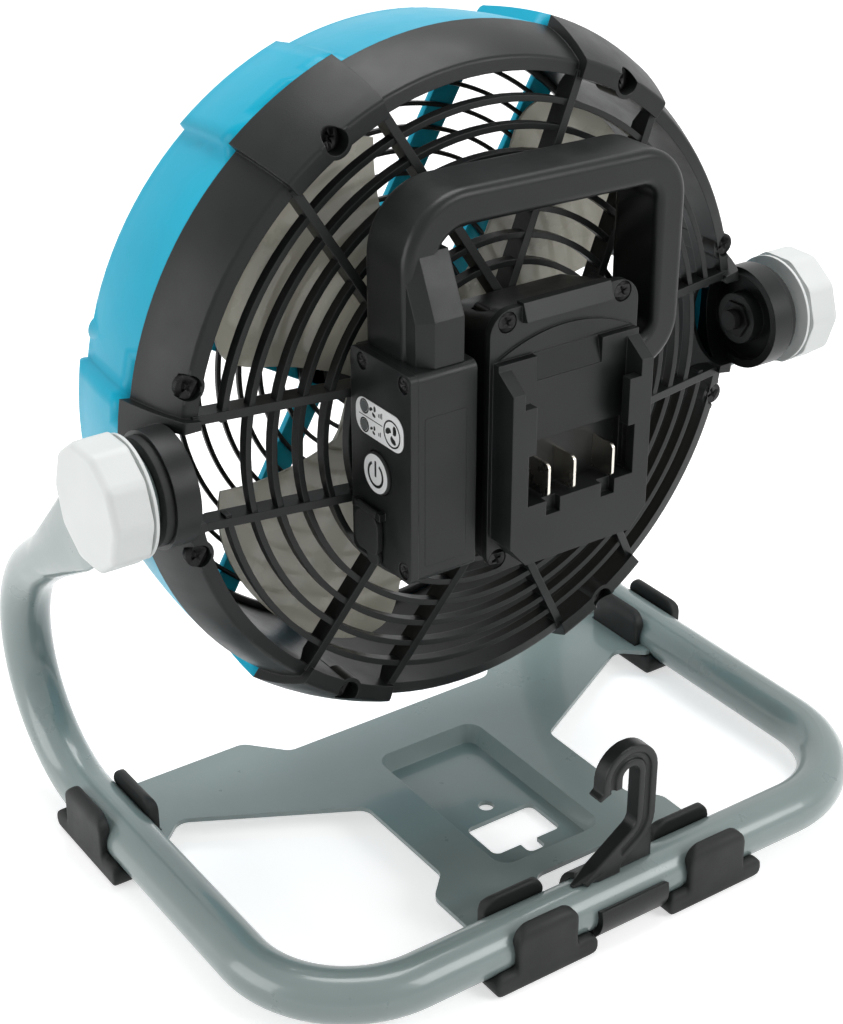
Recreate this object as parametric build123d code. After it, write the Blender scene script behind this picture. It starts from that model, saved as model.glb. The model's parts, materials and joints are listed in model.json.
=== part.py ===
from build123d import *
import math
import os

# Sizes in millimetres, +Z up, the blowing side faces -Y, the floor is Z = 0.

# Stand
tube_dia = 20.0
tube_wall = 1.5
stand_depth = 236.0      # front of the knees to the rear edge of the rear feet
sole = 3.8               # rubber under the tube
knee_radius = 51.5
corner_radius = 44.5
arm_lean = 36.0          # degrees that the upper arms fall towards the front
flat_thick = 3.4         # flattened arm end
flat_gap = 0.4           # hollow left between its two walls
flat_offset = 8.1        # flat ends outside the side runs' centre lines
flat_share = 0.48        # flat part of the straight upper arm
flare_share = 0.87       # where the arm is round again
head_clear = 48.5        # floor to the lowest part of the head

# Feet and base plate
foot_half = 13.0
rear_foot_length = 46.0
rear_ear_length = 27.0
side_foot_length = 50.0
side_ear_length = 30.0
ear_rise = 13.0
foot_mouth = 8.0         # half of the gap between the ears
pad_drop = 4.0           # top of the foot's long pad below the tube centre
side_foot_place = 78.0   # side feet behind the front of the knees
rear_foot_x = 40.0
plate_thick = 2.0
plate_drop = 2.1         # top of the plate below the tube centre
tray_width = 53.0
tray_front = 22.5        # tray behind the front edge of the plate
tray_rear = 8.5         # tray in front of the bay
tray_floor = 4.0         # top of the tray floor above the ground
tray_taper = 18.0
tray_margin = 19.0       # plate beside the tray
plate_front = 18.0       # front edge of the side arms before the side feet's middle
plate_step = 15.5        # how far the middle of the front edge steps back
plate_neck = 12.5        # rear edge of the side arms behind the side feet's middle
plate_arm_rear = 15.5    # rear arms beyond the rear feet's middle
plate_bay = 25.5         # bay between the rear arms, in front of the rear tube
plate_corner = 6.0
window_width = 32.2
window_share = 0.22      # window length over the tray's length
plate_hole = 3.2

# Hook on the rear tube
hook_length = 32.0
hook_wall = 2.8
hook_band = 8.6
hook_depth = 6.4
hook_x = -11.0           # centre line of the upright
hook_reach = 16.4        # centre line across the curl
hook_rise = 47.0         # centre line of the curl above the clip

# Trunnions, measured out from the fan axis along X
boss_out = 5.3           # boss beyond the shell's widest radius
boss_radius = 20.5
boss_length = 9.0
boss_wall = 3.0
boss_floor = 5.5
washer_thick = 3.1
stud_radius = 4.0
nut_flats = 13.0
nut_thick = 6.5
knob_radius = 22.0
knob_length = 16.3
knob_sides = 10
side_gap = 0.3           # between parts that turn against each other
running_fit = 0.06       # radial play of a shaft in its hole

# Fan head, radii and depths from the rear pad plane
pivot_in = 2.5           # the pivot lies this far in front of the pad plane
pad_rise = 4.0
pad_angle = 20.0
pad_width = 6.3
rim_width = 4.9
rim_drop = 3.0
bore_trim = 0.2          # left standing where the spoke ends are cut flush with the bore
rim_round = 2.0
shell_flare = 13.0       # shell's widest radius beyond the opening
joint_depth = 26.0
front_flare = 8.6
head_depth = 69.0
shell_wall = 3.0
screw_out = 4.4
screw_boss = 6.0
screw_hole = 4.5
side_screw_angle = 15.0
ring_count = 7
ring_thick = 2.2
ring_depth = 4.0
hub_step = 1.1           # innermost ring line below the hub's face
duct_wall = 1.6
spoke_offset = 20.0
spoke_thick = 3.2
spoke_depth = 8.0
hub_disc = 44.0
hub_face = 12.0          # rear face of the hub disc, behind the pad plane
hub_thick = 4.0

# Front grille
arm_count = 14
arm_width = 8.0
arm_thick = 3.0
front_hub = 30.0
front_step = 0.3
rib_count = 26
rib_width = 1.7
rib_thick = 2.5

# Impeller and motor
blade_radius = 115.0
tip_gap = 2.2            # blade tips to the duct
blade_count = 4
blade_thick = 2.2
blade_middle = 36.0      # mid depth of the blades in front of the pad plane
tip_pitch = 15.0
root_pitch = 38.0
impeller_hub = 24.0
impeller_length = 27.0
shaft_radius = 2.5
motor_radius = 19.0
motor_front = 11.0
motor_length = 38.0
motor_cap = 5.0
cup_wall = 3.0

# Pedestal, battery mount and control box
seat_face = 42.0
pedestal_wall = 3.0
flange_half = 31.5
flange_top = 54.0
flange_low = 44.0
flange_thick = 3.0
floor_thick = 3.0
rail_rise = 11.5
rail_outer = 30.0
rail_wall = 5.0
lip_width = 5.0
lip_thick = 4.0
window_half = 23.0
window_low = -14.5
window_top = 4.5
blade_sheet = 1.0
ridge_half = 18.5
ridge_low = 48.0
mount_screw_x = 24.5
mount_screw_z = 49.5
low_screw_x = 27.0
low_screw_z = -38.5
box_inner = 36.5
box_outer = 63.0
box_top = 39.0
box_low = 38.0
box_face = 45.0
cover_thick = 3.0
box_wall = 2.2
button_radius = 7.7
button_y = 25.5
button_z = -2.8
button_play = 0.3
jack_y = 21.0
jack_z = -26.0
board_stand = 10.0       # board above the box's inner face
board_thick = 1.6
switch_height = 5.3
lamp_height = 2.1

# Handle
grip_thick = 13.0
grip_front = 9.0
grip_rear = 34.0
grip_left = 51.0
grip_right = -55.0
grip_top = 87.5
grip_end = 17.0

# Derived places
tube_radius = tube_dia / 2
tube_height = sole + tube_radius
open_radius = blade_radius + tip_gap
rim_radius = open_radius + rim_width
pad_rear_radius = open_radius + pad_width
joint_radius = open_radius + shell_flare
front_radius = open_radius + front_flare
front_open = open_radius + front_step
screw_circle = open_radius + screw_out
boss_end = joint_radius + boss_out
boss_start = boss_end - boss_length
ring_pitch = (open_radius - hub_disc) / (ring_count + 1)
dome_slope = (hub_face - hub_step + rim_drop) / (open_radius - hub_disc)
duct_end = head_depth - arm_thick - rib_thick - side_gap
pivot_height = joint_radius + pad_rise + head_clear
flat_inner = boss_end + washer_thick + side_gap
flat_outer = flat_inner + flat_thick
side_x = (flat_inner + flat_outer) / 2 - flat_offset
rear_y = stand_depth / 2 - foot_half
side_foot_y = -stand_depth / 2 + side_foot_place
knee_y = -stand_depth / 2 + tube_radius + knee_radius
knee_z = tube_height + knee_radius
lean = math.radians(arm_lean)
drop = pivot_height - knee_z
arm_length = (drop - knee_radius * math.cos(lean)) / math.sin(lean)
flat_reach = flat_share * arm_length
flare_reach = flare_share * arm_length
pivot_y = knee_y - (knee_radius - drop * math.cos(lean)) / math.sin(lean)
pad_plane = pivot_y + pivot_in
flat_width = flat_thick + math.pi * (tube_dia - flat_thick) / 2
knob_face = flat_outer + side_gap
plate_top = tube_height - plate_drop
plate_front_y = side_foot_y - plate_front
bay_y = rear_y - plate_bay
tray_front_y = plate_front_y + plate_step + tray_front
tray_length = bay_y - tray_rear - tray_front_y
tray_y = tray_front_y + tray_length / 2
window_length = window_share * tray_length
flange_face = seat_face + flange_thick
floor_face = flange_face + floor_thick
rail_face = flange_face + rail_rise
cover_face = box_outer - cover_thick
board_low = box_inner + board_stand
board_face = board_low + board_thick


def block(x0, x1, y0, y1, z0, z1):
    middle = Pos((x0 + x1) / 2, (y0 + y1) / 2, (z0 + z1) / 2)
    return middle * Box(abs(x1 - x0), abs(y1 - y0), abs(z1 - z0))


def rod_x(radius, x0, x1, y=0.0, z=0.0):
    return Pos((x0 + x1) / 2, y, z) * Rot(0, 90, 0) * Cylinder(radius, abs(x1 - x0))


def rod_y(radius, y0, y1, x=0.0, z=0.0):
    return Pos(x, (y0 + y1) / 2, z) * Rot(90, 0, 0) * Cylinder(radius, abs(y1 - y0))


def prism_x(sketch, x0, x1):
    return extrude(Plane.YZ.offset(x0) * sketch, amount=x1 - x0)


def prism_y(sketch, y0, y1):
    return extrude(Plane.XZ.offset(-y1) * sketch, amount=y1 - y0)


def prism_z(sketch, z0, z1):
    return extrude(Plane.XY.offset(z0) * sketch, amount=z1 - z0)


def polar(radius, degrees):
    turn = math.radians(degrees)
    return (radius * math.cos(turn), radius * math.sin(turn))


def turned(edges, arc=360.0, middle=0.0):
    # Turns an outline given as radius and depth about the fan axis
    body = revolve(make_face(edges), Axis.Y, arc)
    return Rot(0, -(middle + arc / 2), 0) * body


def around(part, degrees):
    return Rot(0, -degrees, 0) * part


def in_head(part):
    return Pos(0, pad_plane, pivot_height) * part


def both_sides(part):
    return [part, mirror(part, Plane.YZ)]


# Stand

def arm_point(distance, side):
    # A point on the upper arm's centre line, measured down from the pivot
    y = pivot_y - distance * math.cos(lean)
    return (side * side_x, y, pivot_height - distance * math.sin(lean))


def arm_plane(distance):
    toward_pivot = (0, math.cos(lean), math.sin(lean))
    return Plane(arm_point(distance, 1), x_dir=(1, 0, 0), z_dir=toward_pivot)


def tube_path():
    edges = []
    for side in (1, -1):
        top = arm_point(flare_reach, side)
        start = (side * side_x, knee_y - knee_radius * math.sin(lean),
                 knee_z + knee_radius * math.cos(lean))
        turn = (math.pi - lean) / 2 + lean
        middle = (side * side_x, knee_y - knee_radius * math.sin(turn),
                  knee_z + knee_radius * math.cos(turn))
        low = (side * side_x, knee_y, tube_height)
        bend = (side * side_x, rear_y - corner_radius, tube_height)
        soft = corner_radius * (1 - math.sqrt(0.5))
        inner = (side * (side_x - soft), rear_y - soft, tube_height)
        rear = (side * (side_x - corner_radius), rear_y, tube_height)
        run = [Line(top, start), ThreePointArc(start, middle, low), Line(low, bend),
               ThreePointArc(bend, inner, rear)]
        edges.append(run)
    cross = Line(edges[0][-1] @ 1, edges[1][-1] @ 1)
    return edges[0] + [cross] + edges[1]


def swept_tube(radius):
    path = Wire(tube_path())
    start = path @ 0
    profile = Plane(start, z_dir=path % 0) * Circle(radius)
    return sweep(profile, path=path)


def round_section(radius):
    corner = radius * math.sqrt(0.5)
    a, b = (corner, corner), (-corner, corner)
    c, d = (-corner, -corner), (corner, -corner)
    return make_face([ThreePointArc(a, (0, radius), b), ThreePointArc(b, (-radius, 0), c),
                      ThreePointArc(c, (0, -radius), d), ThreePointArc(d, (radius, 0), a)])


def flat_section(thick, width, shift):
    half = thick / 2
    straight = width / 2 - half
    a, b = (shift + half, straight), (shift - half, straight)
    c, d = (shift - half, -straight), (shift + half, -straight)
    return make_face([ThreePointArc(a, (shift, width / 2), b), Line(b, c),
                      ThreePointArc(c, (shift, -width / 2), d), Line(d, a)])


def arm_end(radius, thick, width, reach):
    # Round tube pressed flat towards the pivot, then a straight flat run
    shift = (flat_inner + flat_outer) / 2 - side_x
    flare = loft([arm_plane(flare_reach) * round_section(radius),
                  arm_plane(flat_reach) * flat_section(thick, width, shift)], ruled=True)
    strip = arm_plane(flat_reach) * flat_section(thick, width, shift)
    return flare + extrude(strip, amount=flat_reach + reach)


def stand_tube():
    solid = arm_end(tube_radius, flat_thick, flat_width, 0)
    solid += rod_x(flat_width / 2, flat_inner, flat_outer, pivot_y, pivot_height)
    hollow = arm_end(tube_radius - tube_wall, flat_gap, flat_width - 2 * tube_wall, flat_width)
    hole = rod_x(stud_radius + running_fit, flat_inner - 1, flat_outer + 1, pivot_y, pivot_height)
    ends = both_sides(solid)
    cuts = both_sides(hollow) + both_sides(hole) + [swept_tube(tube_radius - tube_wall)]
    return swept_tube(tube_radius) + ends - cuts


def plate_outline():
    # Two arms to the side feet, a waist round the tray and two arms to the rear feet
    waist = tray_width / 2 + tray_margin
    front_in = plate_front_y + plate_step
    neck = side_foot_y + plate_neck
    outer, inner = rear_foot_x + plate_arm_rear, rear_foot_x - plate_arm_rear
    half = [(0, front_in), (waist + 4.5, front_in), (waist + 18.5, plate_front_y), (side_x, plate_front_y),
            (side_x, neck + 9), (side_x - 12, neck + 9), (side_x - 22, neck), (waist, neck + 35),
            (waist, bay_y - 21), (outer, bay_y - 11), (outer, rear_y), (inner, rear_y), (inner, bay_y + 9),
            (inner - 9, bay_y), (0, bay_y)]
    left = [(-x, y) for x, y in reversed(half[1:-1])]
    face = make_face(Polyline(*half, *left, close=True))
    corners = face.vertices().filter_by(lambda v: 1 < abs(v.X) < side_x - 15 and v.Y < bay_y + 1)
    return fillet(corners, radius=plate_corner)


def base_plate():
    plate = prism_z(plate_outline(), plate_top - plate_thick, plate_top)
    rim = Pos(0, tray_y) * RectangleRounded(tray_width, tray_length, 9)
    well = Pos(0, tray_y) * RectangleRounded(tray_width - 2 * plate_thick, tray_length - 2 * plate_thick, 7)
    depth = plate_top - tray_floor
    plate += extrude(Plane.XY.offset(plate_top) * rim, amount=-depth - plate_thick, taper=tray_taper)
    plate -= extrude(Plane.XY.offset(plate_top) * well, amount=-depth, taper=tray_taper)
    window_y = tray_y + 0.2 * tray_length
    window = Pos(0, window_y) * RectangleRounded(window_width, window_length, 3)
    window += Pos(0, window_y + window_length / 2 + 1.5) * RectangleRounded(window_width / 4, 9, 2.5)
    plate -= prism_z(window + Pos(0, tray_y) * Circle(plate_hole), 0, plate_top)
    slot = foot_half + side_gap
    ear = side_ear_length / 2 + side_gap
    rear_ear = rear_ear_length / 2 + side_gap
    inner = tube_radius * 0.5
    for side in (1, -1):
        x0, x1 = side * (side_x - slot), side * (side_x - inner)
        plate -= block(min(x0, x1), max(x0, x1), side_foot_y - ear, side_foot_y + ear, 0, 40)
        middle = side * rear_foot_x
        plate -= block(middle - rear_ear, middle + rear_ear, rear_y - slot, rear_y - inner, 0, 40)
    runs = [rod_x(tube_radius, -side_x, side_x, rear_y, tube_height)]
    for side in (1, -1):
        runs.append(rod_y(tube_radius, -stand_depth, rear_y, side * side_x, tube_height))
    outside = [block(-side_x, side_x, rear_y, rear_y + 20, 0, 40)]
    outside += both_sides(block(side_x, side_x + 20, -stand_depth, stand_depth, 0, 40))
    return plate - runs - outside


def foot(length, ear):
    # Rubber clip along X with the tube centre at the origin
    tall = ear_rise + tube_height
    upper = Pos(0, (ear_rise - tube_height) / 2)
    clip = prism_x(upper * RectangleRounded(2 * foot_half, tall, 4.5), -ear / 2, ear / 2)
    clip &= prism_y(upper * RectangleRounded(ear, tall, 6.5), -foot_half, foot_half)
    height = tube_height - pad_drop
    lower = Pos(0, -pad_drop - height / 2)
    base = prism_x(lower * RectangleRounded(2 * foot_half, height, 3), -length / 2, length / 2)
    base &= prism_y(lower * RectangleRounded(length, height, 4.5), -foot_half, foot_half)
    throat = block(-length, length, -foot_mouth, foot_mouth, 0, 2 * ear_rise)
    return clip + base - rod_x(tube_radius, -length, length) - throat


def side_foot(side):
    # The clip's ends stay clear of the plate arms that run under its inner half
    clip = Rot(0, 0, 90) * foot(side_foot_length, side_ear_length)
    return Pos(side * side_x, side_foot_y, tube_height) * clip - plate_room(side)


def plate_room(side):
    x0, x1 = side * (side_x - 2 * foot_half), side * side_x
    low, high = plate_top - plate_thick - side_gap, plate_top + side_gap
    ear, end = side_ear_length / 2, side_foot_length
    near = block(min(x0, x1), max(x0, x1), side_foot_y - end, side_foot_y - ear, low, high)
    far = block(min(x0, x1), max(x0, x1), side_foot_y + ear, side_foot_y + end, low, high)
    return near + far


def rear_foot(side):
    middle = side * rear_foot_x
    part = Pos(middle, rear_y, tube_height) * foot(rear_foot_length, rear_ear_length)
    ear, end = rear_ear_length / 2, rear_foot_length
    low, high = plate_top - plate_thick - side_gap, plate_top + side_gap
    near = block(middle - end, middle - ear, rear_y - 2 * foot_half, rear_y, low, high)
    far = block(middle + ear, middle + end, rear_y - 2 * foot_half, rear_y, low, high)
    return part - near - far


def hook():
    # Clip round the tube with a bent I-section hook standing on it
    bore = tube_radius + running_fit
    shell = Circle(bore + hook_wall) - Circle(bore)
    gap = make_face(Polyline((0, 0), polar(60, -52), polar(60, 20), polar(60, 84), close=True))
    clip = prism_x(shell - gap, -hook_length / 2, hook_length / 2)
    top = bore + hook_wall
    far, high = hook_x + hook_reach, top + hook_rise
    tip = high - 12.3
    curl = hook_reach / 2 - 0.1
    line = FilletPolyline((14.5, top - 4.6), (hook_x, top + 13.4), (hook_x, high), (far, high), (far, tip),
                          radius=[10, curl, curl])
    half = hook_depth / 2
    band = prism_y(trace(line, hook_band), -half, half)
    barb = Polyline((far, tip + 4.3), (far + 6.4, tip - 1.1), (far + 5.6, tip - 2.3), (far, tip), close=True)
    band += prism_y(make_face(barb), -half, half)
    groove = trace(line, hook_band * 0.3)
    for side in (1, -1):
        y0, y1 = side * (half - 1.2), side * hook_depth
        band -= prism_y(groove, min(y0, y1), max(y0, y1))
    web = Polyline((hook_x - 5.5, 0), (12, 0), (8, top + 3), (hook_x + 4, top + 13),
                   (hook_x - 4, top + 20), close=True)
    wedge = Polyline((0, 0), (0, top + 9), (20.5, top - 2), (20.5, 0), close=True)
    point = Polyline((0, -half), (9, -half), (21, -1), (21, 1), (9, half), (0, half), close=True)
    toe = prism_y(make_face(wedge), -half, half) & prism_z(make_face(point), 0, top + 10)
    body = clip + band + prism_y(make_face(web), -half + 1.6, half - 1.6) + toe
    body -= rod_x(bore, -40, 40)
    return Pos(0, rear_y, tube_height) * body


# Fan head

def dome(radius):
    # Depth of the grille's outer face at a radius
    return dome_slope * (open_radius - radius) - rim_drop


def rear_shell(rise, arc=360.0, middle=0.0):
    outer_rear = (rim_radius, -rim_drop - 1) if rise == 0 else (pad_rear_radius, 0)
    face = -rim_drop if rise == 0 else 0
    joint = (joint_radius + rise, -joint_depth)
    bulge = ((outer_rear[0] + joint[0]) / 2 + 1, (outer_rear[1] + joint[1]) / 2 + 0.4)
    inside = (joint_radius - shell_wall, -joint_depth)
    lip = -rim_drop - 4.5
    edges = [Line((open_radius, face), outer_rear), ThreePointArc(outer_rear, bulge, joint),
             Line(joint, inside), Line(inside, (rim_radius - 2.2, lip)),
             Line((rim_radius - 2.2, lip), (open_radius, lip)), Line((open_radius, lip), (open_radius, face))]
    profile = make_face(edges)
    rim = profile.vertices().sort_by_distance((outer_rear[0], outer_rear[1], 0))[0]
    return turned(fillet([rim], radius=rim_round).edges(), arc, middle)


def grille_ring(index):
    radius = open_radius - ring_pitch * (index + 1)
    face = dome(radius)
    half = ring_thick / 2
    edges = Polyline((radius - half, face), (radius + half, face), (radius + half, face - ring_depth),
                     (radius - half, face - ring_depth), close=True)
    return turned(edges)


def spoke(offset):
    start = math.sqrt(hub_disc ** 2 - spoke_offset ** 2) - 4
    end = math.sqrt((open_radius + 2) ** 2 - spoke_offset ** 2)
    rise = 0.6
    side = Polyline((start, hub_face), (end, -rim_drop + rise), (end, -rim_drop - 4),
                    (end - 6, -rim_drop - spoke_depth + 2), (start, hub_face - spoke_depth), close=True)
    bar = extrude(make_face(side), amount=spoke_thick / 2, both=True)
    return Pos(0, 0, offset) * bar


def screw_post(angle):
    # A screw's boss, trimmed to the outside of the shell that it stands in
    x, z = polar(screw_circle, angle)
    rise = 0 if angle % 60 else pad_rise
    rear = (rim_radius, -rim_drop - 1) if rise == 0 else (pad_rear_radius, 0)
    outside = Polyline((open_radius - 5, rear[1]), rear, (joint_radius + rise, -joint_depth),
                       (open_radius - 5, -joint_depth), close=True)
    return rod_y(screw_boss, -joint_depth, 0, x, z) & turned(outside)


def screw_angles():
    angles = [60.0, 120.0, 240.0, 300.0]
    for middle in (0.0, 180.0):
        angles += [middle - side_screw_angle, middle + side_screw_angle]
    return angles


def screw_places():
    return [polar(screw_circle, angle) for angle in screw_angles()]


def trunnion():
    boss = rod_x(boss_radius, boss_start, boss_end, -pivot_in)
    socket = rod_x(nut_flats * 0.78, boss_end - boss_floor - nut_thick + 1, boss_end - boss_floor, -pivot_in)
    return boss, socket


def nut_hex(x0, x1):
    face = Pos(-pivot_in, 0) * RegularPolygon(nut_flats / 2, 6, major_radius=False)
    return prism_x(face, x0, x1)


def pedestal_shape(inset):
    # Box that widens upwards from the hub disc to the battery mount
    half = flange_half - 1 - inset
    low = flange_low - 1 - inset
    sections = []
    for depth, top in ((hub_face, hub_disc + 1.5), (seat_face, flange_top - 1)):
        height = top - inset + low
        face = Pos(0, (top - inset - low) / 2) * RectangleRounded(2 * half, height, 8 - inset)
        sections.append(Plane.XZ.offset(-depth) * face)
    return loft(sections, ruled=True)


def pedestal():
    walls = pedestal_shape(0) - pedestal_shape(pedestal_wall)
    parts = [pedestal_shape(1) & block(-90, 90, hub_face, hub_face + pedestal_wall, -90, 90)]
    for side in (1, -1):
        post = rod_y(4.5, hub_face, seat_face, side * mount_screw_x, mount_screw_z - 1)
        parts.append(post & pedestal_shape(1))
        parts.append(rod_y(4.0, hub_face, seat_face, side * (low_screw_x - 2.5), low_screw_z + 2.5))
    cuts = [rod_y(motor_radius + 1, hub_face - 1, hub_face + pedestal_wall + 1)]
    for side in (1, -1):
        cuts.append(rod_y(1.6, seat_face - 16, seat_face + 1, side * mount_screw_x, mount_screw_z))
        cuts.append(rod_y(1.6, seat_face - 16, seat_face + 1, side * low_screw_x, low_screw_z))
    cuts += [rod_y(1.6, hub_face - 1, seat_face, x, z) for x, z in pedestal_screw_places()]
    return walls + parts - cuts


def pedestal_screw_places():
    reach = (motor_radius + hub_disc) / 2
    return [polar(reach, 45 + 90 * index) for index in range(4)]


def pedestal_screws():
    screws = []
    top = hub_face + pedestal_wall
    for x, z in pedestal_screw_places():
        screws.append(rod_y(3.2, top, top + 2, x, z) + rod_y(1.6, hub_face - hub_thick, top, x, z))
    return screws


def motor_cup():
    return rod_y(motor_radius + cup_wall, -motor_front - cup_wall, hub_face)


def duct():
    # Inner wall round the blades, as deep as the front guard allows
    tube = Circle(open_radius + duct_wall) - Circle(open_radius)
    return prism_y(tube, -duct_end, -rim_drop - 1)


def rear_housing():
    body = rear_shell(0)
    extras = [rear_shell(pad_rise, pad_angle, 60.0 * index) for index in range(6)]
    extras += [grille_ring(index) for index in range(ring_count)]
    for index in range(6):
        extras += [around(spoke(spoke_offset), 60.0 * index), around(spoke(-spoke_offset), 60.0 * index)]
    extras += [screw_post(angle) for angle in screw_angles()]
    extras.append(motor_cup())
    seat = Rectangle(cover_face - box_inner, box_top + box_low - 2)
    hub = Circle(hub_disc) + Pos((box_inner + cover_face) / 2, (box_top - box_low) / 2) * seat
    extras.append(prism_y(hub, hub_face - hub_thick, hub_face))
    boss, socket = trunnion()
    extras += both_sides(boss)
    body += extras
    body += duct()
    pocket = rod_x(boss_radius - boss_wall, open_radius - 12, boss_end - boss_floor, -pivot_in)
    stud_hole = rod_x(stud_radius + side_gap, boss_start - nut_thick, boss_end + 1, -pivot_in)
    cuts = both_sides(pocket) + both_sides(stud_hole)
    cuts.append(rod_y(motor_radius, -motor_front, seat_face + 1))
    cuts.append(rod_y(motor_radius * 0.45, -motor_front - cup_wall - 1, -motor_front))
    for x, z in screw_places():
        cuts.append(rod_y(screw_hole, -8, 1, x, z))
        cuts.append(rod_y(2.0, -joint_depth - 1, -8, x, z))
    for side in (1, -1):
        cuts.append(rod_y(1.5, -motor_front - cup_wall - 1, -motor_front, side * motor_radius * 0.66, 0))
    cuts += [rod_y(1.6, hub_face - hub_thick - 1, hub_face + 1, x, z) for x, z in pedestal_screw_places()]
    body -= cuts
    sockets = both_sides(socket - nut_hex(boss_start - nut_thick, boss_end) - stud_hole)
    air_way = Circle(open_radius - bore_trim) - Circle(hub_disc)
    sleeve = prism_y(air_way, -joint_depth - 1, -spoke_depth - rim_drop)
    return body - sleeve + sockets


def front_shell(rise, arc=360.0, middle=0.0):
    joint = (joint_radius + rise, -joint_depth)
    inside = (joint_radius - shell_wall, -joint_depth)
    short = head_depth - (2.0 if rise else 0.0)
    shoulder = (front_radius + rise + 0.2, -short + 4)
    nose = (front_radius + rise - 3.2, -short)
    swell = ((joint[0] + shoulder[0]) / 2 + 0.7, (joint[1] + shoulder[1]) / 2)
    corner = (front_radius + rise - 0.9, -short + 1.2)
    lip = -head_depth + arm_thick
    edges = [Line(inside, joint), ThreePointArc(joint, swell, shoulder),
             ThreePointArc(shoulder, corner, nose),
             Line(nose, (front_open, -short)), Line((front_open, -short), (front_open, lip)),
             Line((front_open, lip), (front_radius - shell_wall, lip)),
             Line((front_radius - shell_wall, lip), inside)]
    return turned(edges, arc, middle)


def swirl(radius_in, radius_out, degrees, width):
    middle = polar((radius_in + radius_out) / 2, degrees * 0.38)
    line = ThreePointArc((radius_in, 0), middle, polar(radius_out, degrees))
    return trace(line, width)


def front_shroud():
    extras = [front_shell(pad_rise, pad_angle, 60.0 * index) for index in range(6)]
    bar = swirl(front_hub - 3, front_open + 2, -42.0, arm_width)
    arms = Circle(front_hub) + [Rot(0, 0, 360.0 * index / arm_count) * bar for index in range(arm_count)]
    extras.append(prism_y(arms, -head_depth, -head_depth + arm_thick))
    floor = -head_depth + arm_thick
    extras += [rod_y(screw_boss - 0.4, floor, -joint_depth, x, z) for x, z in screw_places()]
    body = front_shell(0) + extras
    bore = rod_y(open_radius + duct_wall + side_gap, floor, -joint_depth + 1)
    holes = [rod_y(1.7, -joint_depth - 16, -joint_depth + 1, x, z) for x, z in screw_places()]
    return body - bore - holes


def front_guard():
    floor = -head_depth + arm_thick
    rib = swirl(front_hub - 2, front_open + 1.5, 58.0, rib_width)
    ribs = [Rot(0, 0, 360.0 * index / rib_count) * rib for index in range(rib_count)]
    ring = Circle(front_open - 0.05) - Circle(front_open - 3)
    web = (Circle(front_hub) + ring + ribs) & Circle(front_open - 0.05)
    return prism_y(web, floor, floor + rib_thick)


# Impeller and motor

def blade():
    root = Plane.YZ.offset(10) * Pos(-blade_middle, 0) * Rot(0, 0, root_pitch) * Rectangle(blade_thick, 62)
    tip = Plane.YZ.offset(blade_radius + 4) * Pos(-blade_middle, 0) * Rot(0, 0, tip_pitch) * Rectangle(
        blade_thick, 1.36 * blade_radius)
    slab = loft([root, tip], ruled=True)
    low_in, low_out = polar(impeller_hub - 3, -42), polar(blade_radius, -31)
    high_in, high_out = polar(impeller_hub - 3, 44), polar(blade_radius, 34)
    plan = make_face([ThreePointArc(low_in, polar(0.57 * blade_radius, -41), low_out),
                      ThreePointArc(low_out, polar(blade_radius, 0), high_out),
                      ThreePointArc(high_out, polar(0.61 * blade_radius, 25), high_in),
                      Line(high_in, low_in)])
    tips = plan.vertices().filter_by(lambda v: math.hypot(v.X, v.Y) > blade_radius - 1)
    plan = fillet(tips, radius=9)
    return slab & prism_y(plan, -blade_middle - 40, -blade_middle + 40)


def impeller():
    rear = -blade_middle + impeller_length / 2
    front = -blade_middle - impeller_length / 2
    hub = rod_y(impeller_hub, front, rear)
    hub = fillet(hub.edges().group_by(Axis.Y)[0], radius=7)
    hub += [around(blade(), 360.0 * (index + 0.5) / blade_count) for index in range(blade_count)]
    hollow = rod_y(impeller_hub - 3, front + 9, rear + 1) - rod_y(7, front, rear + 1)
    return hub - hollow - rod_y(shaft_radius, front - 1, rear + 1)


def shaft_nut():
    front = -blade_middle - impeller_length / 2
    cap = prism_y(RegularPolygon(4.6, 6), front - 4, front)
    return cap - rod_y(shaft_radius, front - 5, front + 1)


def motor_shaft():
    front = -blade_middle - impeller_length / 2 - 4.8
    return rod_y(shaft_radius, front, -motor_front + motor_length + 1)


def motor_can():
    rear = -motor_front + motor_length
    can = rod_y(motor_radius, -motor_front, rear) - rod_y(motor_radius - 1.5, -motor_front + 2, rear + 1)
    cuts = [rod_y(5.5, -motor_front - 1, -motor_front + 3)]
    cuts += [rod_y(1.5, -motor_front - 1, -motor_front + 3, s * motor_radius * 0.66, 0) for s in (1, -1)]
    return can - cuts


def motor_rotor():
    rear = -motor_front + motor_length
    pack = Circle(11.5) - [Rot(0, 0, 72 * i) * Pos(10.5, 0) * Rectangle(5, 2.4) for i in range(5)]
    core = prism_y(pack - Circle(shaft_radius), -motor_front + 8, rear - 14)
    return core + (rod_y(6, rear - 14, rear - 4) - rod_y(shaft_radius, rear - 15, rear - 3))


def motor_magnets():
    face = Circle(motor_radius - 1.5) - Circle(12.2)
    half = face - Rectangle(9, 60)
    return prism_y(half, -motor_front + 6, -motor_front + motor_length - 10)


def motor_end_cap():
    rear = -motor_front + motor_length
    cap = rod_y(motor_radius, rear, rear + motor_cap) + rod_y(motor_radius - 1.5, rear - 2, rear)
    return cap - rod_y(5.5, rear - 3, rear + 3.5)


def bushes():
    rear = -motor_front + motor_length
    bore = shaft_radius + running_fit
    front = rod_y(5.5, -motor_front - 1, -motor_front + 3) - rod_y(bore, -30, 60)
    back = rod_y(5.5, rear - 2, rear + 3.5) - rod_y(bore, -30, rear + 2.5)
    return [front, back]


def motor_screws():
    head = -motor_front - cup_wall
    screws = []
    for side in (1, -1):
        x = side * motor_radius * 0.66
        screws.append(rod_y(2.8, head - 2, head, x, 0) + rod_y(1.5, head, -motor_front + 3.5, x, 0))
    return screws


# Battery mount

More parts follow.
